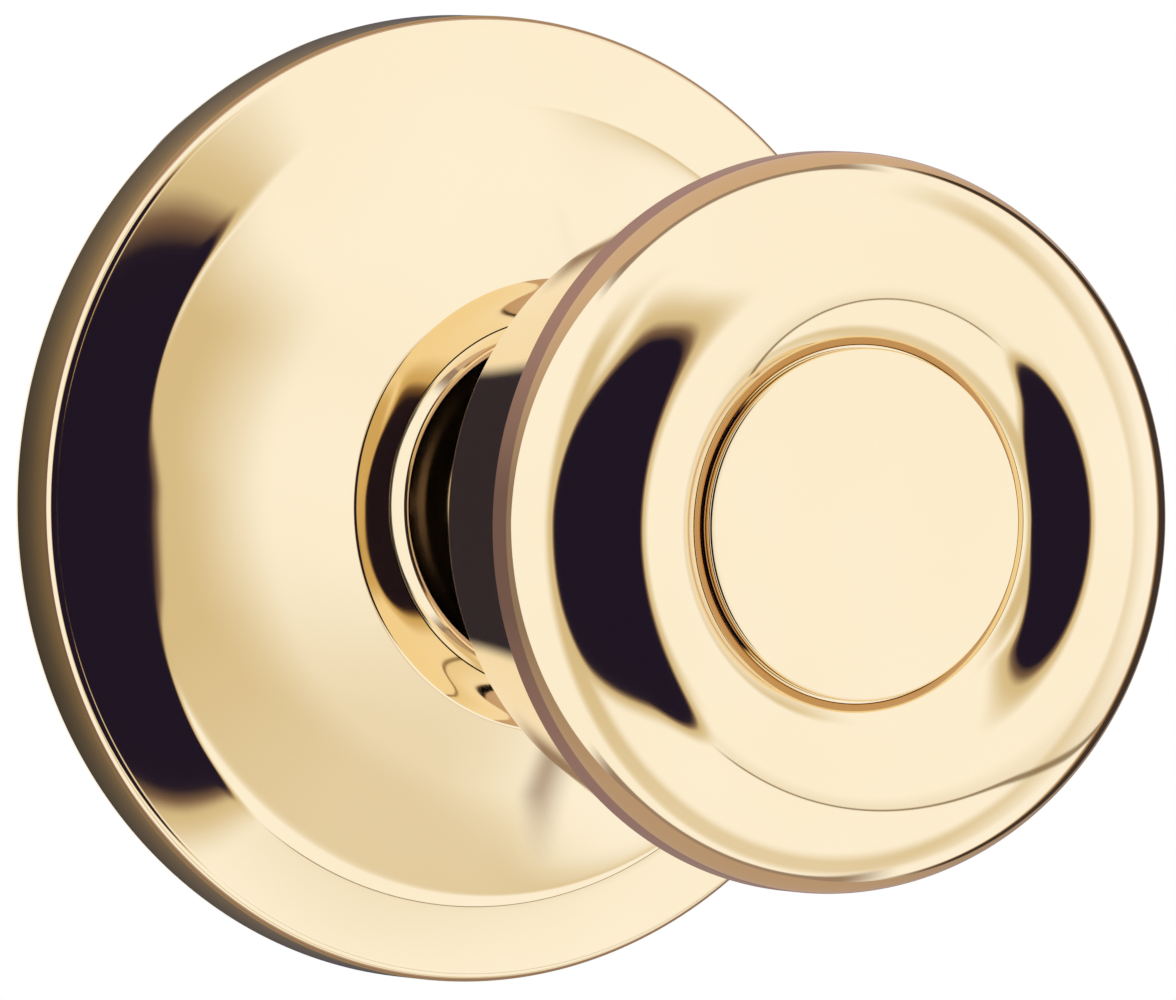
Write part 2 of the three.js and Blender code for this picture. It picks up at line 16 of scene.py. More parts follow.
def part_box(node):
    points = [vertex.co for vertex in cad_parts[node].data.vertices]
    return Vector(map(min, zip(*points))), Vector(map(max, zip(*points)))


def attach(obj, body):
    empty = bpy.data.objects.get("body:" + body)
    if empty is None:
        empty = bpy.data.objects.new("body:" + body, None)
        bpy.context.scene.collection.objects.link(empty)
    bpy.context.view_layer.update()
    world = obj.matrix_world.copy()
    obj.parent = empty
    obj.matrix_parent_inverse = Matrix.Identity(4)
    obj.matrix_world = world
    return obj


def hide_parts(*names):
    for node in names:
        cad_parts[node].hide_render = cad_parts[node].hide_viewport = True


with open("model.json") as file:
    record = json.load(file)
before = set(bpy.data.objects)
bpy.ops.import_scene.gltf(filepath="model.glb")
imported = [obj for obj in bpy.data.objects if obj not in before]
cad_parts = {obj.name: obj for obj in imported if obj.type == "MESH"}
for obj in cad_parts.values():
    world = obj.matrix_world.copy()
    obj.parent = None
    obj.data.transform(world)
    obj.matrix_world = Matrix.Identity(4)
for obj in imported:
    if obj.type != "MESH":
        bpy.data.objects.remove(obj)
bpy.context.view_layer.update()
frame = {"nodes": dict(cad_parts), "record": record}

MM = 0.001
SEGMENTS = 288  # facets round each spun shell
SHEET = 0.9 * MM  # wall of the spun brass
RUNNING_GAP = 0.08 * MM  # between shells that meet

# ---------------------------------------------------------------- sizes


def radius_of(node):
    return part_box(node)[1].x


def front_of(node):
    """The node's height on the side that faces out of the door."""
    return -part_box(node)[0].y


def back_of(node):
    """The node's height on the side that faces into the door."""
    return -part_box(node)[1].y


ROSE_R = radius_of("rose")
MOUTH_Z = front_of("rose")
BEAD_R = radius_of("knob_neck")
NECK_FOOT_Z = back_of("knob_neck")
BACK_COLLAR_Z = back_of("knob_back")
RIM_R = radius_of("knob_front")
CREST_Z = front_of("knob_front")
DISC_R = radius_of("face_disc")
DISC_Z = front_of("face_disc") - 0.2 * MM  # the disc's face, a little below the CAD's crown

# Sizes that the frame's boxes don't give. R is a radius from the axis and Z a height.
MOUTH_R = 15.5 * MM
RECESS_DEPTH = 0.38 * MM  # from the mouth's edge down to the ring round the neck's bead
ROSE_EDGE_ARC = 0.85 * MM  # radius of the rounded edge itself
NECK_R = 12.0 * MM
NECK_TOP_Z = 34.6 * MM
BEAD_FOOT_Z = 15.85 * MM
BEAD_TOP_Z = 16.7 * MM
CORNER_R = 20.9 * MM
CORNER_Z = 40.0 * MM
RIM_BACK_Z = 53.9 * MM
RIM_BREAK = 0.12 * MM  # bevel where the front shell meets the back shell
RIM_EDGE_ARC = 3.6 * MM
RIM_EDGE_SWEEP = 48
WELL_FLOOR_Z = 59.2 * MM
STUD_HOLE_R = 3.6 * MM
STUD_R = 3.0 * MM
DISC_EDGE_ARC = 0.22 * MM
DISC_CROWN = 0.12 * MM

# Slopes of the polished faces in degrees, at a few radii in millimetres, from outside inwards.
# A positive slope climbs towards the axis. The slopes decide what each face reflects.
ROSE_EDGE_SWEEP = 78.8
ROSE_FLARE = [(32.66, 11.2), (31.2, 12.8), (29.4, 14.4), (28.2, 15.6), (27.4, 34)]
ROSE_CREASE = [(27.0, 36.4), (26.0, 37.9), (25.3, 38.6)]
ROSE_CONE = [(24.0, 39.2), (22.0, 40.0), (20.0, 41.0), (15.6, 41.4)]
RING_OUTSIDE = [(23.61, 42), (23.3, 40.4), (23.0, 38.6), (22.7, 36), (21.5, 32), (20.0, 27)]
RING_CREST = [(19.0, 20), (18.0, 11), (17.0, 0)]
RING_INSIDE = [(17.0, 0), (16.2, -10), (15.0, -21), (13.8, -31), (12.77, -38)]
GROOVE_SIDE = [(12.77, -38), (12.4, -42), (12.0, -46)]


# ---------------------------------------------------------------- outlines


def arc(centre, radius, start, end, steps):
    """Points on an arc, between two angles in degrees; 0 points away from the axis."""
    angles = np.radians(np.linspace(start, end, steps + 1))
    return [(centre[0] + radius * math.cos(a), centre[1] + radius * math.sin(a)) for a in angles]


def bezier(start, pull_out, pull_in, end, steps):
    """Points on a cubic curve, which the two middle points pull towards themselves."""
    t = np.linspace(0, 1, steps + 1)[:, None]
    p0, p1, p2, p3 = (np.array(p, float) for p in (start, pull_out, pull_in, end))
    curve = (1 - t) ** 3 * p0 + 3 * (1 - t) ** 2 * t * p1 + 3 * (1 - t) * t**2 * p2 + t**3 * p3
    return [tuple(p) for p in curve]


def climb(slopes, end_height, steps, smoothing=5):
    """Points whose slope follows the list, inwards, and whose last point has the given height."""
    radii = np.array([r for r, _ in slopes]) * MM
    angles = np.array([a for _, a in slopes], float)
    r = np.linspace(radii[0], radii[-1], steps + 1)
    slope = np.interp(-r, -radii, angles)
    padded = np.pad(slope, smoothing, mode="reflect", reflect_type="odd")
    kernel = np.ones(2 * smoothing + 1) / (2 * smoothing + 1)
    slope = np.convolve(padded, kernel, mode="valid")
    rise = np.tan(np.radians((slope[1:] + slope[:-1]) / 2)) * -np.diff(r)
    height = np.concatenate([[0], np.cumsum(rise)])
    height += end_height - height[-1]
    return list(zip(r, height))


def lowered(outline, start):
    """The outline moved along the axis so that its first point has the given point's height."""
    drop = start[1] - outline[0][1]
    return [(r, z + drop) for r, z in outline]


def straight(start, end, inset=0.04 * MM):
    """A straight side with points close to both ends, so that shading stays flat along it."""
    along = Vector(end) - Vector(start)
    step = along.normalized() * inset
    return [start, tuple(Vector(start) + step), tuple(Vector(end) - step), end]


def inside_of(outline, wall):
    """The sheet's inner side, found by moving each point of the outer side inwards."""
    points = np.array(outline)
    along = np.gradient(points, axis=0)
    along /= np.linalg.norm(along, axis=1)[:, None]
    moved = points + np.stack([-along[:, 1], along[:, 0]], axis=1) * wall
    return [tuple(p) for p in moved]


# ---------------------------------------------------------------- meshes


def spin(name, outline, body, node, material):
    """A closed body of revolution about the knob's axis, from a closed outline."""
    cleaned = [p for i, p in enumerate(outline) if math.dist(p, outline[i - 1]) > 1e-7]
    on_axis = [p[0] < 1e-6 for p in cleaned]
    vertices = []
    rings = []
    for (r, z), pole in zip(cleaned, on_axis):
        first = len(vertices)
        count = 1 if pole else SEGMENTS
        for i in range(count):
            turn = 2 * math.pi * i / SEGMENTS
            vertices.append((r * math.cos(turn), -z, r * math.sin(turn)))
        rings.append([first + (i % count) for i in range(SEGMENTS)])
    faces = []
    for here, after in zip(rings, rings[1:] + rings[:1]):
        for i in range(SEGMENTS):
            j = (i + 1) % SEGMENTS
            corners = [here[i], here[j], after[j], after[i]]
            unique = list(dict.fromkeys(corners))
            if len(unique) > 2:
                faces.append(unique)
    mesh = bpy.data.meshes.new(name)
    mesh.from_pydata(vertices, [], faces)
    mesh.validate()
    piece = bpy.data.objects.new(name, mesh)
    bpy.context.scene.collection.objects.link(piece)
    face_outwards(mesh)
    mesh.shade_smooth()
    mesh.set_sharp_from_angle(angle=math.radians(35))
    mesh.materials.append(material)
    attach(piece, body)
    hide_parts(node)
    return piece


def face_outwards(mesh):
    """Turns the faces round if the closed mesh holds a negative volume."""
    mesh.calc_loop_triangles()
    volume = 0.0
    for triangle in mesh.loop_triangles:
        a, b, c = (mesh.vertices[i].co for i in triangle.vertices)
        volume += a.dot(b.cross(c))
    if volume < 0:
        mesh.flip_normals()


# ---------------------------------------------------------------- node helpers


class Nodes:
    """Builds a node tree with short calls; sockets and numbers can both be inputs."""

    def __init__(self, tree):
        self.tree = tree

    def add(self, kind, **settings):
        node = self.tree.nodes.new(kind)
        for key, value in settings.items():
            setattr(node, key, value)
        return node

    def feed(self, socket, value):
        if isinstance(value, bpy.types.NodeSocket):
            self.tree.links.new(value, socket)
        else:
            socket.default_value = value

    def math(self, operation, *values, clamp=False):
        node = self.add("ShaderNodeMath", operation=operation, use_clamp=clamp)
        for socket, value in zip(node.inputs, values):
            self.feed(socket, value)
        return node.outputs[0]

    def smooth(self, value, low, high):
        """0 below low and 1 above high, with a smooth step between."""
        node = self.add("ShaderNodeMapRange", interpolation_type="SMOOTHSTEP")
        self.feed(node.inputs["Value"], value)
        self.feed(node.inputs["From Min"], low)
        self.feed(node.inputs["From Max"], high)
        return node.outputs[0]

    def span(self, value, low, high, to_low, to_high):
        """The value carried from one range to another in a straight line, and kept inside it."""
        node = self.add("ShaderNodeMapRange")
        for socket, number in zip(node.inputs, (value, low, high, to_low, to_high)):
            self.feed(socket, number)
        return node.outputs[0]

    def oval(self, across, along, power):
        """The size of the oval that runs through a place, where 1 is the oval itself."""
        first = self.math("POWER", self.math("ABSOLUTE", across), power)
        second = self.math("POWER", self.math("ABSOLUTE", along), power)
        return self.math("POWER", self.math("ADD", first, second), 1.0 / power)

    def mix(self, share, a, b):
        node = self.add("ShaderNodeMix", data_type="RGBA")
        self.feed(node.inputs["Factor"], share)
        self.feed(node.inputs["A"], a)
        self.feed(node.inputs["B"], b)
        return node.outputs["Result"]

    def ramp(self, value, stops):
        node = self.add("ShaderNodeValToRGB")
        ramp = node.color_ramp
        ramp.elements[0].position = stops[0][0]
        ramp.elements[0].color = (*stops[0][1], 1)
        ramp.elements[1].position = stops[-1][0]
        ramp.elements[1].color = (*stops[-1][1], 1)
        for position, color in stops[1:-1]:
            ramp.elements.new(position).color = (*color, 1)
        self.feed(node.inputs[0], value)
        return node.outputs["Color"]

    def noise(self, vector, scale, detail=2.0):
        node = self.add("ShaderNodeTexNoise")
        self.feed(node.inputs["Vector"], vector)
        node.inputs["Scale"].default_value = scale
        node.inputs["Detail"].default_value = detail
        return node.outputs[0]


def new_material(name):
    material = bpy.data.materials.new(name)
    material.use_nodes = True
    nodes = Nodes(material.node_tree)
    shader = material.node_tree.nodes["Principled BSDF"]
    return material, nodes, shader


# ---------------------------------------------------------------- materials

BRASS = (0.93, 0.74, 0.42)


def polished_brass():
    """Lacquered polished brass: nearly a mirror, with soft unevenness."""
    material, nodes, shader = new_material("polished_brass")
    place = nodes.add("ShaderNodeTexCoord").outputs["Object"]
    cloud = nodes.noise(place, 60.0)
    tone = nodes.span(cloud, 0.3, 0.7, 0.0, 1.0)
    deep = tuple(c * k for c, k in zip(BRASS, (0.985, 0.975, 0.95)))
    color = nodes.mix(tone, (*BRASS, 1), (*deep, 1))
    nodes.feed(shader.inputs["Base Color"], color)
    shader.inputs["Metallic"].default_value = 1.0
    nodes.feed(shader.inputs["Roughness"], nodes.span(cloud, 0.3, 0.7, 0.035, 0.055))
    return material


def plated_steel():
    """Zinc-plated steel: a bluish grey with a fine crystalline mottle."""
    material, nodes, shader = new_material("zinc_plated_steel")
    place = nodes.add("ShaderNodeTexCoord").outputs["Object"]
    grain = nodes.noise(place, 900.0, 4.0)
    color = nodes.ramp(grain, [(0.3, (0.50, 0.49, 0.44)), (0.7, (0.66, 0.64, 0.56))])
    nodes.feed(shader.inputs["Base Color"], color)
    shader.inputs["Metallic"].default_value = 1.0
    nodes.feed(shader.inputs["Roughness"], nodes.span(grain, 0.3, 0.7, 0.30, 0.42))
    return material


def spring_steel():
    """Oiled spring steel: dark grey, with a soft shine."""
    material, nodes, shader = new_material("spring_steel")
    place = nodes.add("ShaderNodeTexCoord").outputs["Object"]
    grain = nodes.noise(place, 500.0, 3.0)
    color = nodes.ramp(grain, [(0.3, (0.20, 0.19, 0.17)), (0.7, (0.30, 0.28, 0.25))])
    nodes.feed(shader.inputs["Base Color"], color)
    shader.inputs["Metallic"].default_value = 1.0
    nodes.feed(shader.inputs["Roughness"], nodes.span(grain, 0.3, 0.7, 0.22, 0.34))
    return material


def cast_zinc():
    """Die-cast zinc as it leaves the mould: dull grey, with a fine grain."""
    material, nodes, shader = new_material("die_cast_zinc")
    place = nodes.add("ShaderNodeTexCoord").outputs["Object"]
    grain = nodes.noise(place, 1400.0, 5.0)
    color = nodes.ramp(grain, [(0.3, (0.36, 0.35, 0.32)), (0.7, (0.50, 0.48, 0.43))])
    nodes.feed(shader.inputs["Base Color"], color)
    shader.inputs["Metallic"].default_value = 1.0
    nodes.feed(shader.inputs["Roughness"], nodes.span(grain, 0.3, 0.7, 0.50, 0.66))
    bump = nodes.add("ShaderNodeBump")
    bump.inputs["Strength"].default_value = 0.25
    bump.inputs["Distance"].default_value = 0.05 * MM
    nodes.feed(bump.inputs["Height"], grain)
    nodes.feed(shader.inputs["Normal"], bump.outputs["Normal"])
    return material


def nylon():
    """Natural nylon: a warm white that lets a little light in."""
    material, nodes, shader = new_material("nylon")
    place = nodes.add("ShaderNodeTexCoord").outputs["Object"]
    grain = nodes.noise(place, 300.0, 3.0)
    color = nodes.ramp(grain, [(0.3, (0.74, 0.69, 0.54)), (0.7, (0.80, 0.75, 0.60))])
    nodes.feed(shader.inputs["Base Color"], color)
    nodes.feed(shader.inputs["Roughness"], nodes.span(grain, 0.3, 0.7, 0.38, 0.50))
    shader.inputs["Subsurface Weight"].default_value = 0.1
    return material


# ---------------------------------------------------------------- visible brass pieces


def rose(brass):
    """Cover plate: straight rim, shallow flare, soft crease, then a cone up to the mouth's edge."""
    crest = (MOUTH_R, MOUTH_Z)
    dome_end_z = MOUTH_Z - 0.05 * MM  # leaves a small break below the mouth's edge
    dome = climb(ROSE_FLARE + ROSE_CREASE + ROSE_CONE, dome_end_z, 200, smoothing=3)
    reach = ROSE_EDGE_ARC * math.sin(math.radians(ROSE_EDGE_SWEEP))
    edge_centre = (ROSE_R - ROSE_EDGE_ARC, dome[0][1] - reach)
    rim = straight((ROSE_R, 0.0), (ROSE_R, edge_centre[1]))
    edge = arc(edge_centre, ROSE_EDGE_ARC, 0, ROSE_EDGE_SWEEP, 14)[1:]
    ring_start = (MOUTH_R - 0.15 * MM, MOUTH_Z - 0.03 * MM)
    ring_end = (BEAD_R + RUNNING_GAP, MOUTH_Z - RECESS_DEPTH)
    ring_bend = (MOUTH_R - 1.1 * MM, MOUTH_Z - 0.23 * MM)
    ring = bezier(ring_start, ring_bend, ring_bend, ring_end, 16)
    outside = rim + edge + dome + [crest] + ring
    sheet_end_z = ring_end[1] - SHEET
    inside = [
        (ROSE_R - SHEET, 0.0),
        (ROSE_R - SHEET, edge_centre[1]),
        *inside_of(dome[::8], SHEET),
        (MOUTH_R - 0.5 * MM, sheet_end_z),
        (BEAD_R + RUNNING_GAP, sheet_end_z),
    ]
    spin("rose_spun", outside + inside[::-1], "door_side", "rose", brass)


def neck(brass):
    """Ferrule between the rose and the knob, with a chamfered bead at its foot."""
    chamfer_end = (NECK_R + 0.12 * MM, BEAD_TOP_Z)  # leaves a small step on the neck
    foot = straight((BEAD_R, NECK_FOOT_Z), (BEAD_R, BEAD_FOOT_Z))
    side = straight((NECK_R, BEAD_TOP_Z + 0.02 * MM), (NECK_R, NECK_TOP_Z))
    outside = foot + straight(foot[-1], chamfer_end)[1:] + side
    inside = [(NECK_R - SHEET, NECK_TOP_Z), (NECK_R - SHEET, NECK_FOOT_Z)]
    spin("neck_turned", outside + inside, "knob", "knob_neck", brass)


def back_shell(brass):
    """Back of the knob: a hollow sweep from the neck to the corner, then the tapered flank."""
    start_r = NECK_R + RUNNING_GAP
    corner_r = 0.45 * MM
    sweep = bezier(
        (start_r, BACK_COLLAR_Z),
        (start_r + 0.9 * MM, BACK_COLLAR_Z + 3.2 * MM),
        (CORNER_R - 3.6 * MM, CORNER_Z - 1.5 * MM),
        (CORNER_R - corner_r, CORNER_Z - 0.25 * MM),
        48,
    )
    corner = bezier(
        sweep[-1],
        (CORNER_R - 0.15 * MM, CORNER_Z - 0.15 * MM),
        (CORNER_R - 0.02 * MM, CORNER_Z + 0.1 * MM),
        (CORNER_R + 0.05 * MM, CORNER_Z + 0.35 * MM),
        10,
    )
    flank_end = (RIM_R - RIM_BREAK, RIM_BACK_Z - 0.05 * MM)
    outside = sweep + corner[1:] + straight(corner[-1], flank_end)[1:]
    inside = inside_of(sweep[::6] + [corner[-1], flank_end], SHEET)
    spin("knob_back_spun", outside + inside[::-1], "knob", "knob_back", brass)


def front_shell(brass):
    """Front of the knob: rim band, rounded edge, raised ring and the groove round the disc."""
    ring_outside = climb(RING_OUTSIDE + RING_CREST, CREST_Z, 90)
    ring_inside = lowered(climb(RING_INSIDE, 0, 60), ring_outside[-1])
    groove = lowered(climb(GROOVE_SIDE, 0, 16, smoothing=1), ring_inside[-1])
    reach = RIM_EDGE_ARC * math.sin(math.radians(RIM_EDGE_SWEEP))
    edge_centre = (RIM_R - RIM_EDGE_ARC, ring_outside[0][1] - reach)
    edge = arc(edge_centre, RIM_EDGE_ARC, 0, RIM_EDGE_SWEEP, 28)
    wall_r = groove[-1][0] - 0.05 * MM
    well = [
        (wall_r, groove[-1][1] - 0.1 * MM),
        (wall_r, WELL_FLOOR_Z),
        (STUD_HOLE_R, WELL_FLOOR_Z),
    ]
    band_start = (RIM_R, RIM_BACK_Z + RIM_BREAK)
    band = [(RIM_R - RIM_BREAK, RIM_BACK_Z), *straight(band_start, edge[0])]
    outside = band + edge[1:] + ring_outside[1:] + ring_inside[1:] + groove[1:] + well
    face = ring_outside[::8] + ring_inside[::12]
    drop = SHEET * 1.15  # measured along the axis, so a little more than the sheet on a slope
    inside = [
        (STUD_HOLE_R, WELL_FLOOR_Z - SHEET),
        (wall_r + SHEET, WELL_FLOOR_Z - SHEET),
        *[(r, z - drop) for r, z in face[::-1] if r > wall_r + SHEET],
        (RIM_R - SHEET, edge_centre[1]),
        (RIM_R - SHEET, RIM_BACK_Z),
    ]
    spin("knob_front_spun", outside + inside, "knob", "knob_front", brass)


def disc(brass):
    """Flat centre disc, with a faint crown and a softened edge."""
    base_z = back_of("face_disc")
    disc_back_z = WELL_FLOOR_Z + 0.1 * MM
    face_r = DISC_R - DISC_EDGE_ARC
    edge = arc((face_r, DISC_Z - DISC_CROWN - DISC_EDGE_ARC), DISC_EDGE_ARC, 0, 88, 8)
    inwards = np.linspace(0, 1, 24)[1:]
    face = [(face_r * (1 - t), DISC_Z - DISC_CROWN * (1 - t) ** 2) for t in inwards]
    outline = [
        (0.0, base_z),
        (STUD_R, base_z),
        (STUD_R, disc_back_z),
        (DISC_R, disc_back_z),
        *edge,
        *face,
    ]
    spin("centre_disc", outline, "knob", "face_disc", brass)


# ---------------------------------------------------------------- carried-over nodes


def dress_frame_nodes():
    """The working parts keep their CAD shape and take a finish of their own."""
    finishes = {
        "zinc_plated_steel": plated_steel(),
        "spring_steel": spring_steel(),
        "die_cast_zinc": cast_zinc(),
        "nylon": nylon(),
    }
    for part in frame["record"]["subparts"]:
        finish = finishes.get(part["material_slot"])
        if finish is None:
            continue
        mesh = frame["nodes"][part["node"]].data
        mesh.materials.clear()
        mesh.materials.append(finish)


# ---------------------------------------------------------------- light tent

# Colours of the surround, in linear light.
TENT_WHITE = (1.06, 1.16, 1.50)
TENT_TAN = (0.74, 0.68, 0.56)
TENT_BROWN = (0.22, 0.15, 0.13)
TENT_DARK = (0.0155, 0.011, 0.042)
TABLE_LINE = (0.26, 0.20, 0.14)
BACK_BROWN = (0.36, 0.29, 0.30)
SIDE_DARK = (0.035, 0.034, 0.085)
RIGHT_BROWN = (0.55, 0.36, 0.21)
RIGHT_DARK = (0.05, 0.04, 0.045)
DEEP_ORANGE = (0.70, 0.72, 1.3)

# Directions are in degrees: left of straight ahead of the door, and up. A pair is where a smooth
# step starts and ends, so a pair that falls runs the other way round.

# The dark opening is an oval with a different size and roundness above and below its middle.
OPENING_MIDDLE = 19.0
OPENING_HALF_WIDTH = 28.6
OPENING_ABOVE = 32.0
OPENING_BELOW = 33.0
ROUNDNESS_ABOVE = 1.65  # 2 is an ellipse, less is more pointed, and more is squarer
ROUNDNESS_BELOW = 2.7
OPENING_MEAN = 30.0  # turns a share of the oval's size into degrees
OPENING_FADE = 20.0  # degrees from its edge to where the opening's last trace ends
FADE_BROWN, FADE_TAN, FADE_WHITE = 0.12, 0.24, 0.75  # shares of that distance
# Its left side and its foot fade in a shorter distance, by this much more than elsewhere.
SHARP_LEFT, SHARP_LEFT_BY = (22.0, 36.0), 1.5
SHARP_FOOT, SHARP_FOOT_BY = (-6.0, -24.0), 2.0

# Painted shade on the tent's wall, in tan, is a ring round one direction.
WALL_SHADE_MIDDLE = (0.349, -0.936, -0.037)
WALL_SHADE_INNER = (60.0, 65.5)
WALL_SHADE_OUTER = (76.0, 70.5)
WALL_SHADE_TOP = (55.0, 32.0)
WALL_SHADE_FOOT, WALL_SHADE_FOOT_SHARE = (-65.0, -25.0), 0.7
WALL_SHADE_RIGHT_END = (-98.0, -72.0)

# The table's edge is a level line that faces TABLE_TURN degrees to the right.
TABLE_TURN = 45.0
TABLE_DROP = -0.75  # its height over its distance
TABLE_START = (-4.0, -12.0)
TABLE_SHADE, TABLE_SHADE_SHARE = (0.35, 0.02), 0.28
TABLE_SHADE_FOOT = (-0.01, 0.01)
TABLE_LINE_WIDTH, TABLE_LINE_SHARE = (0.032, 0.008), 0.9

# The wall on the far right, from brown to dark, and the brown overhead and underfoot. A depth
# is the direction's Y: 1 points into the door, and -1 straight out of it.
RIGHT_START, RIGHT_DARK_START = (-102.0, -105.0), (-104.0, -108.0)
RIGHT_DEPTH, RIGHT_HEIGHT = (0.9, 0.8), (60.0, 40.0)
BACK_STEEPNESS, BACK_DEPTH = (0.80, 0.90), (-0.11, -0.05)

# Second and third reflections between the rose and the knob see these places otherwise.
SECOND_BOUNCE = 2.5  # Ray Depth is one more than the number of reflections
THIRD_BOUNCE = 3.5
SIDE_START, SIDE_END, SIDE_HEIGHT = (60.0, 66.0), (92.0, 85.0), (60.0, 52.0)
BEHIND_LEFT = 95.0


def opening_share(nodes, left, up):
    """How far a direction lies outside the tent's dark opening: 0 inside, 1 well outside."""
    across = nodes.math("SUBTRACT", left, OPENING_MIDDLE)
    across = nodes.math("DIVIDE", across, OPENING_HALF_WIDTH)
    over = nodes.math("DIVIDE", nodes.math("MAXIMUM", up, 0.0), OPENING_ABOVE)
    under = nodes.math("DIVIDE", nodes.math("MINIMUM", up, 0.0), OPENING_BELOW)
    above = nodes.oval(across, over, ROUNDNESS_ABOVE)
    below = nodes.oval(across, under, ROUNDNESS_BELOW)
    is_above = nodes.math("GREATER_THAN", up, 0.0)
    change = nodes.math("MULTIPLY", is_above, nodes.math("SUBTRACT", above, below))
    ratio = nodes.math("ADD", below, change)
    outside = nodes.math("MULTIPLY", nodes.math("SUBTRACT", ratio, 1.0), OPENING_MEAN)
    left_edge = nodes.math("MULTIPLY", nodes.smooth(left, *SHARP_LEFT), SHARP_LEFT_BY)
    foot_edge = nodes.math("MULTIPLY", nodes.smooth(up, *SHARP_FOOT), SHARP_FOOT_BY)
    sharpness = nodes.math("ADD", nodes.math("MAXIMUM", left_edge, foot_edge), 1.0)
    return nodes.span(nodes.math("MULTIPLY", outside, sharpness), 0.0, OPENING_FADE, 0.0, 1.0)


def wall_shade_share(nodes, direction, left, up):
    """How much painted tan shade on the tent's wall a direction sees. It runs in part of a ring, from
    the top to the left.
    """
    dot = nodes.add("ShaderNodeVectorMath", operation="DOT_PRODUCT")
    nodes.feed(dot.inputs[0], direction)
    dot.inputs[1].default_value = WALL_SHADE_MIDDLE
    away = nodes.math("DEGREES", nodes.math("ARCCOSINE", dot.outputs["Value"]))
    near = nodes.smooth(away, *WALL_SHADE_INNER)
    far = nodes.smooth(away, *WALL_SHADE_OUTER)
    foot = nodes.span(up, *WALL_SHADE_FOOT, WALL_SHADE_FOOT_SHARE, 1.0)
    level = nodes.math("MULTIPLY", nodes.smooth(up, *WALL_SHADE_TOP), foot)
    here = nodes.math("MULTIPLY", level, nodes.smooth(left, *WALL_SHADE_RIGHT_END))
    return nodes.math("MULTIPLY", nodes.math("MULTIPLY", near, far), here)


def table_edge(nodes, split, left):
    """The table's edge, which runs off to the right of the opening: shade above it, and a line."""
    x, y, z = split.outputs
    squares = nodes.math("ADD", nodes.math("POWER", x, 2.0), nodes.math("POWER", y, 2.0))
    flat = nodes.math("SQRT", squares)
    turn = nodes.math("RADIANS", nodes.math("ADD", left, TABLE_TURN))
    edge = nodes.math("MULTIPLY", nodes.math("COSINE", turn), TABLE_DROP)
    above_edge = nodes.math("SUBTRACT", nodes.math("DIVIDE", z, flat), edge)
    right_side = nodes.smooth(left, *TABLE_START)
    foot = nodes.smooth(above_edge, *TABLE_SHADE_FOOT)
    shade = nodes.math("MULTIPLY", nodes.smooth(above_edge, *TABLE_SHADE), foot)
    line = nodes.smooth(nodes.math("ABSOLUTE", above_edge), *TABLE_LINE_WIDTH)
    return nodes.math("MULTIPLY", shade, right_side), nodes.math("MULTIPLY", line, right_side)


def with_walls(nodes, tent, split, left, up):
    """The tent with its dark far right side, and brown overhead and underfoot near the door."""
    _, y, z = split.outputs
    in_front = nodes.smooth(y, *RIGHT_DEPTH)
    right_side = nodes.math("MULTIPLY", nodes.smooth(left, *RIGHT_START), in_front)
    low = nodes.smooth(nodes.math("ABSOLUTE", up), *RIGHT_HEIGHT)
    right_side = nodes.math("MULTIPLY", right_side, low)
    tent = nodes.mix(right_side, tent, (*RIGHT_BROWN, 1))
    far_right = nodes.math("MULTIPLY", right_side, nodes.smooth(left, *RIGHT_DARK_START))
    tent = nodes.mix(far_right, tent, (*RIGHT_DARK, 1))
    steep = nodes.smooth(nodes.math("ABSOLUTE", z), *BACK_STEEPNESS)
    behind = nodes.math("MULTIPLY", steep, nodes.smooth(y, *BACK_DEPTH))
    return nodes.mix(behind, tent, (*BACK_BROWN, 1))


def with_deep_reflections(nodes, tent, depth, left, up):
    """The tent as it looks after two or more reflections between the rose and the knob."""
    second = nodes.math("GREATER_THAN", depth, SECOND_BOUNCE)
    third = nodes.math("GREATER_THAN", depth, THIRD_BOUNCE)
    at_side = nodes.math("MULTIPLY", nodes.smooth(left, *SIDE_START), nodes.smooth(left, *SIDE_END))
    low = nodes.smooth(nodes.math("ABSOLUTE", up), *SIDE_HEIGHT)
    at_side = nodes.math("MULTIPLY", at_side, low)
    behind_left = nodes.math("GREATER_THAN", left, BEHIND_LEFT)
    tent = nodes.mix(third, tent, (*DEEP_ORANGE, 1))
    lost_at_side = nodes.math("MULTIPLY", second, at_side)
    lost_behind = nodes.math("MULTIPLY", third, behind_left)
    return nodes.mix(nodes.math("MAXIMUM", lost_at_side, lost_behind), tent, (*SIDE_DARK, 1))


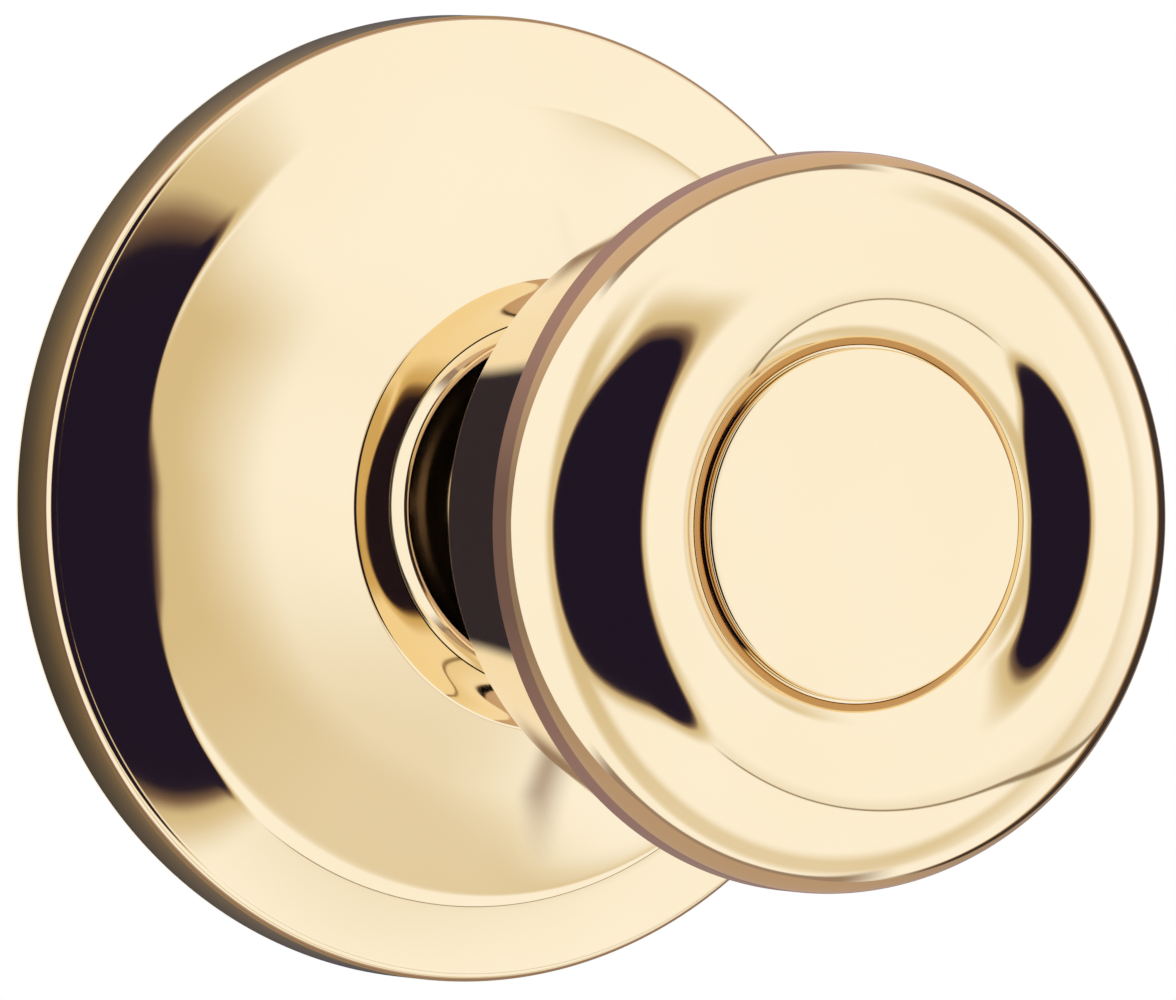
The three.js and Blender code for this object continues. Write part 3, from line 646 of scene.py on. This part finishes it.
def light_tent():
    """White surround with one dark opening, the line of a table edge, and painted tan shade round it.
    """
    world = bpy.data.worlds.new("light_tent")
    bpy.context.scene.world = world
    world.use_nodes = True
    world.node_tree.nodes.clear()
    nodes = Nodes(world.node_tree)
    direction = nodes.add("ShaderNodeTexCoord").outputs["Generated"]
    split = nodes.add("ShaderNodeSeparateXYZ")
    nodes.feed(split.inputs[0], direction)
    x, y, z = split.outputs
    turn = nodes.math("ARCTAN2", nodes.math("MULTIPLY", x, -1.0), nodes.math("MULTIPLY", y, -1.0))
    left = nodes.math("DEGREES", turn)
    up = nodes.math("DEGREES", nodes.math("ARCSINE", z))

    # Painted tan shade on the tent's wall, round the opening.
    wall_shade = wall_shade_share(nodes, direction, left, up)
    tent = nodes.mix(wall_shade, (*TENT_WHITE, 1), (*TENT_TAN, 1))
    shade, line = table_edge(nodes, split, left)
    tent = nodes.mix(nodes.math("MULTIPLY", shade, TABLE_SHADE_SHARE), tent, (*TENT_TAN, 1))
    tent = nodes.mix(nodes.math("MULTIPLY", line, TABLE_LINE_SHARE), tent, (*TABLE_LINE, 1))
    share = opening_share(nodes, left, up)
    stops = [(0.0, TENT_DARK), (FADE_BROWN, TENT_BROWN), (FADE_TAN, TENT_TAN)]
    fade = nodes.ramp(share, stops)
    tent = nodes.mix(nodes.smooth(share, FADE_TAN, FADE_WHITE), fade, tent)
    tent = with_walls(nodes, tent, split, left, up)
    path = nodes.add("ShaderNodeLightPath")
    tent = with_deep_reflections(nodes, tent, path.outputs["Ray Depth"], left, up)

    background = nodes.add("ShaderNodeBackground")
    nodes.feed(background.inputs["Color"], tent)
    plain = nodes.add("ShaderNodeBackground")
    plain.inputs["Color"].default_value = (1, 1, 1, 1)
    choose = nodes.add("ShaderNodeMixShader")
    nodes.feed(choose.inputs[0], path.outputs["Is Camera Ray"])
    nodes.feed(choose.inputs[1], background.outputs[0])
    nodes.feed(choose.inputs[2], plain.outputs[0])
    output = nodes.add("ShaderNodeOutputWorld")
    nodes.feed(output.inputs["Surface"], choose.outputs[0])


def matt(name, color, darker, scale):
    """A dull surface, clouded between two close colours."""
    material, nodes, shader = new_material(name)
    place = nodes.add("ShaderNodeTexCoord").outputs["Object"]
    cloud = nodes.noise(place, scale)
    nodes.feed(shader.inputs["Base Color"], nodes.ramp(cloud, [(0.3, darker), (0.7, color)]))
    shader.inputs["Roughness"].default_value = 0.9
    return material


def stage_mesh(name, vertices, faces, material):
    """A mesh of the studio, which isn't part of the knob."""
    mesh = bpy.data.meshes.new(name)
    mesh.from_pydata(vertices, [], faces)
    mesh.materials.append(material)
    piece = bpy.data.objects.new(name, mesh)
    bpy.context.scene.collection.objects.link(piece)
    return piece


def floor():
    """Paper below the knob. It looks white in the tent's bluish light, and brass ignores it."""
    half = 0.42
    level = -0.5
    square = ((-half, -half), (half, -half), (half, half), (-half, half))
    corners = [(x, y, level) for x, y in square]
    paper = matt("floor_paper", (0.86, 0.80, 0.64), (0.85, 0.79, 0.63), 8.0)
    stage_mesh("floor", corners, [(0, 1, 2, 3)], paper).visible_glossy = False


BOARD_HALF_WIDTH = 87 * MM
BOARD_FLARE = 0.25  # how much wider each half gets per metre up or down
BOARD_INSET = 0.5 * MM  # hidden under the rose
BOARD_RAMP = 30 * MM  # its painted contact shade and brown change over this distance from the rose
BOARD_LEVEL = -0.2 * MM  # just in front of the door's face
BOARD_STEPS = 192
BOARD_LIMIT = 0.08  # a share of the half width, which keeps its top and foot a metre away
BOARD_TOP_PAINTED_LIGHT = 2.2  # painted light: how much brighter it is above the rose
# painted light: how much brighter it is below the rose
BOARD_FOOT_PAINTED_LIGHT = 1.7


def painted_board_light():
    """The board's brown with its light painted in, as a glow: painted contact shade dark beside the
    rose, and painted light, lighter above and below.
    """
    material = bpy.data.materials.new("painted_board_light")
    material.use_nodes = True
    nodes = Nodes(material.node_tree)
    material.node_tree.nodes.clear()
    place = nodes.add("ShaderNodeTexCoord").outputs["Object"]
    split = nodes.add("ShaderNodeSeparateXYZ")
    nodes.feed(split.inputs[0], place)
    x, _, z = split.outputs
    squares = nodes.math("ADD", nodes.math("POWER", x, 2.0), nodes.math("POWER", z, 2.0))
    r = nodes.math("SQRT", squares)
    share = nodes.span(r, ROSE_R, ROSE_R + BOARD_RAMP, 0.0, 1.0)
    # Painted contact shade darkens it next to the rose; further out is the board's brown with its
    # painted light.
    stops = [
        (0.0, (0.055, 0.052, 0.058)),
        (0.03, (0.100, 0.083, 0.075)),
        (0.065, (0.200, 0.155, 0.105)),
        (0.5, (0.174, 0.120, 0.150)),
        (0.72, (0.180, 0.125, 0.150)),
        (0.8, (0.300, 0.236, 0.220)),
    ]
    height = nodes.math("DIVIDE", z, r)  # the sine of the turn from the level: 1 is straight up
    top = nodes.span(height, 0.1, 0.8, 1.0, BOARD_TOP_PAINTED_LIGHT)
    foot = nodes.span(height, -0.9, -0.4, BOARD_FOOT_PAINTED_LIGHT, 1.0)
    depth = nodes.add("ShaderNodeLightPath").outputs["Ray Depth"]
    early = nodes.math("LESS_THAN", depth, SECOND_BOUNCE)
    strength = nodes.math("MULTIPLY", nodes.math("MULTIPLY", top, foot), early)
    glow = nodes.add("ShaderNodeEmission")
    nodes.feed(glow.inputs["Color"], nodes.ramp(share, stops))
    nodes.feed(glow.inputs["Strength"], strength)
    output = nodes.add("ShaderNodeOutputMaterial")
    nodes.feed(output.inputs["Surface"], glow.outputs[0])
    return material


def mounting_board():
    """The board round the rose, seen only in the brass, which glows with its painted light and
    painted contact shade. It is narrow at the rose's height.
    """
    inner_r = ROSE_R - BOARD_INSET
    inner = []
    outer = []
    for i in range(BOARD_STEPS):
        turn = 2 * math.pi * i / BOARD_STEPS
        across, along = math.cos(turn), math.sin(turn)
        outer_r = BOARD_HALF_WIDTH / max(abs(across) - BOARD_FLARE * abs(along), BOARD_LIMIT)
        inner.append((inner_r * across, BOARD_LEVEL, inner_r * along))
        outer.append((outer_r * across, BOARD_LEVEL, outer_r * along))
    after = [*range(1, BOARD_STEPS), 0]
    faces = [(i, j, BOARD_STEPS + j, BOARD_STEPS + i) for i, j in enumerate(after)]
    board = stage_mesh("mounting_board", inner + outer, faces, painted_board_light())
    board.visible_camera = False
    board.visible_shadow = False
    board.visible_diffuse = False


# ---------------------------------------------------------------- camera

AZIMUTH = math.radians(-27.86)
ELEVATION = math.radians(1.99)
DISTANCE = 1.4138  # metres from the rose's middle
SIDEWAYS = 9.64 * MM  # the view's middle lies this far right of the rose's middle
DOWNWARDS = 0.2 * MM
FOCAL_MM = 625.6


def camera():
    """A long lens from the left, a little above the knob's axis."""
    toward = Vector(
        (
            math.sin(AZIMUTH) * math.cos(ELEVATION),
            -math.cos(AZIMUTH) * math.cos(ELEVATION),
            math.sin(ELEVATION),
        )
    )
    right = Vector((0, 0, 1)).cross(toward).normalized()
    up = toward.cross(right)
    data = bpy.data.cameras.new("camera")
    data.sensor_width = 36.0
    data.lens = FOCAL_MM
    data.clip_start = 0.05
    data.clip_end = 20.0
    piece = bpy.data.objects.new("camera", data)
    turned = Matrix((right, up, toward)).transposed().to_4x4()
    turned.translation = toward * DISTANCE + right * SIDEWAYS - up * DOWNWARDS
    piece.matrix_world = turned
    bpy.context.scene.collection.objects.link(piece)
    bpy.context.scene.camera = piece


# ---------------------------------------------------------------- the scene

camera()
brass = polished_brass()
rose(brass)
neck(brass)
back_shell(brass)
front_shell(brass)
disc(brass)
dress_frame_nodes()
light_tent()
floor()
mounting_board()

bpy.context.scene.view_settings.view_transform = "Standard"
bpy.context.scene.view_settings.look = "None"
